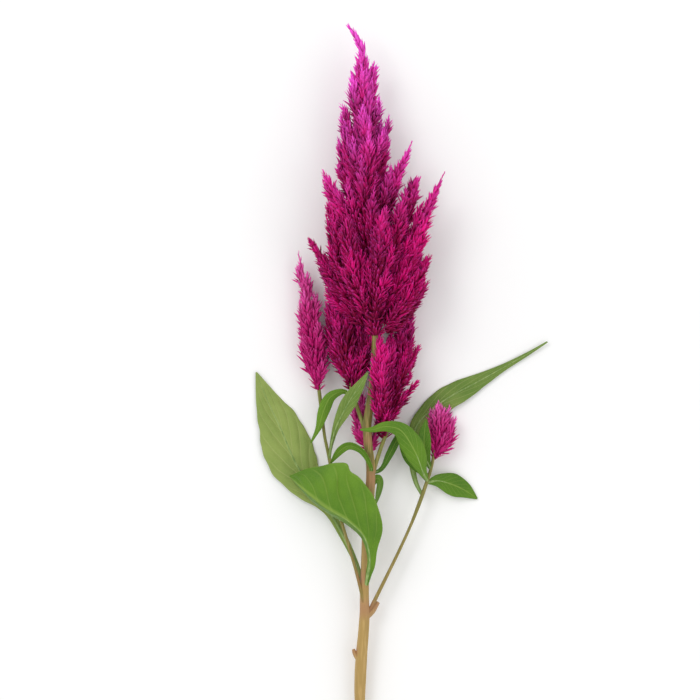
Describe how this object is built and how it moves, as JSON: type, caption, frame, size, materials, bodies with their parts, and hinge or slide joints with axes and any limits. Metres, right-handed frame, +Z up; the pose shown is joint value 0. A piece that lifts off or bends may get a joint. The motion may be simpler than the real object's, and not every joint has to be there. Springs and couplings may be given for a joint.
{
  "type": "plume celosia stem",
  "caption": "Cut stem of plume celosia lying on its side: upright feathery magenta plume, lower side plumes and green lance-shaped leaves on a tan stem.",
  "frame": {"origin": "on the surface that the stem lies on, under the middle of its footprint", "axes": "+Y along the stem from the cut end towards the plume's tip, +Z up from the surface, +X to the right seen from above"},
  "size_m": [0.1918, 0.4976, 0.0522],
  "materials": {
    "stem": "smooth ribbed green-tan stem flushed pink at the joints",
    "shoot": "thin yellow-green to red-brown side stalks",
    "leaf": "soft satin green leaf with paler veins and underside",
    "plume": "papery deep magenta florets, brighter pink at the tips",
    "side_plume": "papery pink-magenta florets, paler at the foot"
  },
  "bodies": {
    "root": {"main_stem": "stem", "left_side_shoot": "shoot", "right_side_shoot": "shoot", "left_plume_stalk": "shoot", "right_plume_stalk": "shoot", "main_plume": "plume", "left_lower_plume": "plume", "right_lower_plume": "plume", "left_side_plume": "side_plume", "right_side_plume": "side_plume", "left_stem_tuft": "side_plume", "right_stem_tuft": "side_plume", "leaf_lower_left": "leaf", "leaf_front": "leaf", "leaf_behind_right": "leaf", "leaf_arching_left": "leaf", "leaf_dark_right": "leaf", "leaf_left_shoot_upright": "leaf", "leaf_left_shoot_curled": "leaf", "leaf_right_shoot_front": "leaf", "leaf_right_shoot_dark": "leaf", "leaf_right_shoot_upright": "leaf", "leaf_right_shoot_long": "leaf", "leaf_right_shoot_oval": "leaf"}
  },
  "joints": []
}
